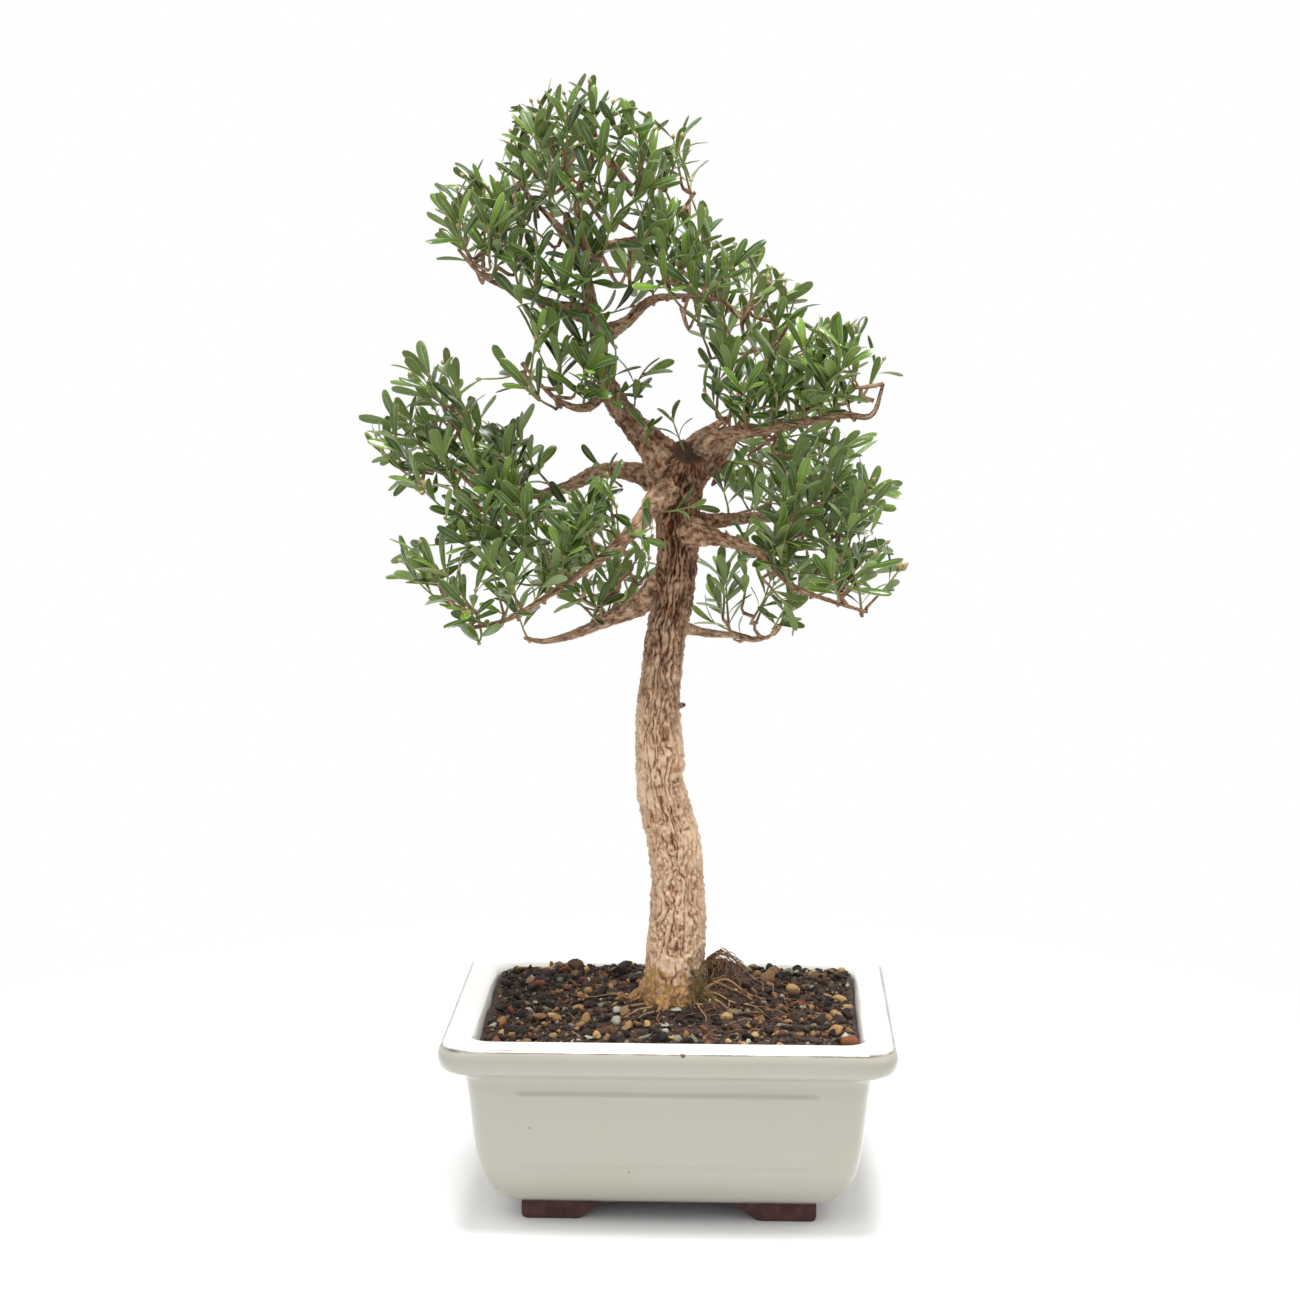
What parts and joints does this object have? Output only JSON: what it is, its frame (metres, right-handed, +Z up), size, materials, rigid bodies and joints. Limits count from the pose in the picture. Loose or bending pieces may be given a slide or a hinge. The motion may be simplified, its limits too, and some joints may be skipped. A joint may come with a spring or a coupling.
{
  "type": "potted bonsai tree",
  "caption": "Upright small-leaved bonsai tree with fissured bark and leafy pads, planted in a footed glazed ceramic pot; a decorative plant that stands on a table or shelf.",
  "frame": {"origin": "on the surface the pot stands on, under the middle of the whole bounding box", "axes": "+Z up, +X to the right and +Y away from someone who looks at the tree's front"},
  "size_m": [0.3004, 0.212, 0.6036],
  "materials": {
    "glaze": "cream glaze, with bare brown clay on the feet",
    "screen": "black plastic mesh",
    "soil": "gritty mix of lava, pumice and akadama grains",
    "bark": "dry corky bark with lengthwise fissures",
    "leaf": "leathery glossy green leaves on green shoots"
  },
  "bodies": {
    "root": {"pot": "glaze", "drain_screen_left": "screen", "drain_screen_right": "screen", "soil": "soil", "trunk_and_limbs": "bark", "leaf_spray_01": "leaf", "leaf_spray_02": "leaf", "leaf_spray_03": "leaf", "leaf_spray_04": "leaf", "leaf_spray_05": "leaf", "leaf_spray_06": "leaf", "leaf_spray_07": "leaf", "leaf_spray_08": "leaf", "leaf_spray_09": "leaf", "leaf_spray_10": "leaf", "leaf_spray_11": "leaf", "leaf_spray_12": "leaf", "leaf_spray_13": "leaf", "leaf_spray_14": "leaf", "leaf_spray_15": "leaf", "leaf_spray_16": "leaf", "leaf_spray_17": "leaf", "leaf_spray_18": "leaf", "leaf_spray_19": "leaf", "leaf_spray_20": "leaf", "leaf_spray_21": "leaf", "leaf_spray_22": "leaf", "leaf_spray_23": "leaf", "leaf_spray_24": "leaf", "leaf_spray_25": "leaf", "leaf_spray_26": "leaf", "leaf_spray_27": "leaf", "leaf_spray_28": "leaf", "leaf_spray_29": "leaf", "leaf_spray_30": "leaf", "leaf_spray_31": "leaf", "leaf_spray_32": "leaf", "leaf_spray_33": "leaf", "leaf_spray_34": "leaf", "leaf_spray_35": "leaf", "leaf_spray_36": "leaf", "leaf_spray_37": "leaf", "leaf_spray_38": "leaf", "leaf_spray_39": "leaf", "leaf_spray_40": "leaf", "leaf_spray_41": "leaf", "leaf_spray_42": "leaf", "leaf_spray_43": "leaf", "leaf_spray_44": "leaf", "leaf_spray_45": "leaf", "leaf_spray_46": "leaf", "leaf_spray_47": "leaf", "leaf_spray_48": "leaf", "leaf_spray_49": "leaf", "leaf_spray_50": "leaf", "leaf_spray_51": "leaf", "leaf_spray_52": "leaf", "leaf_spray_53": "leaf", "leaf_spray_54": "leaf"}
  },
  "joints": []
}
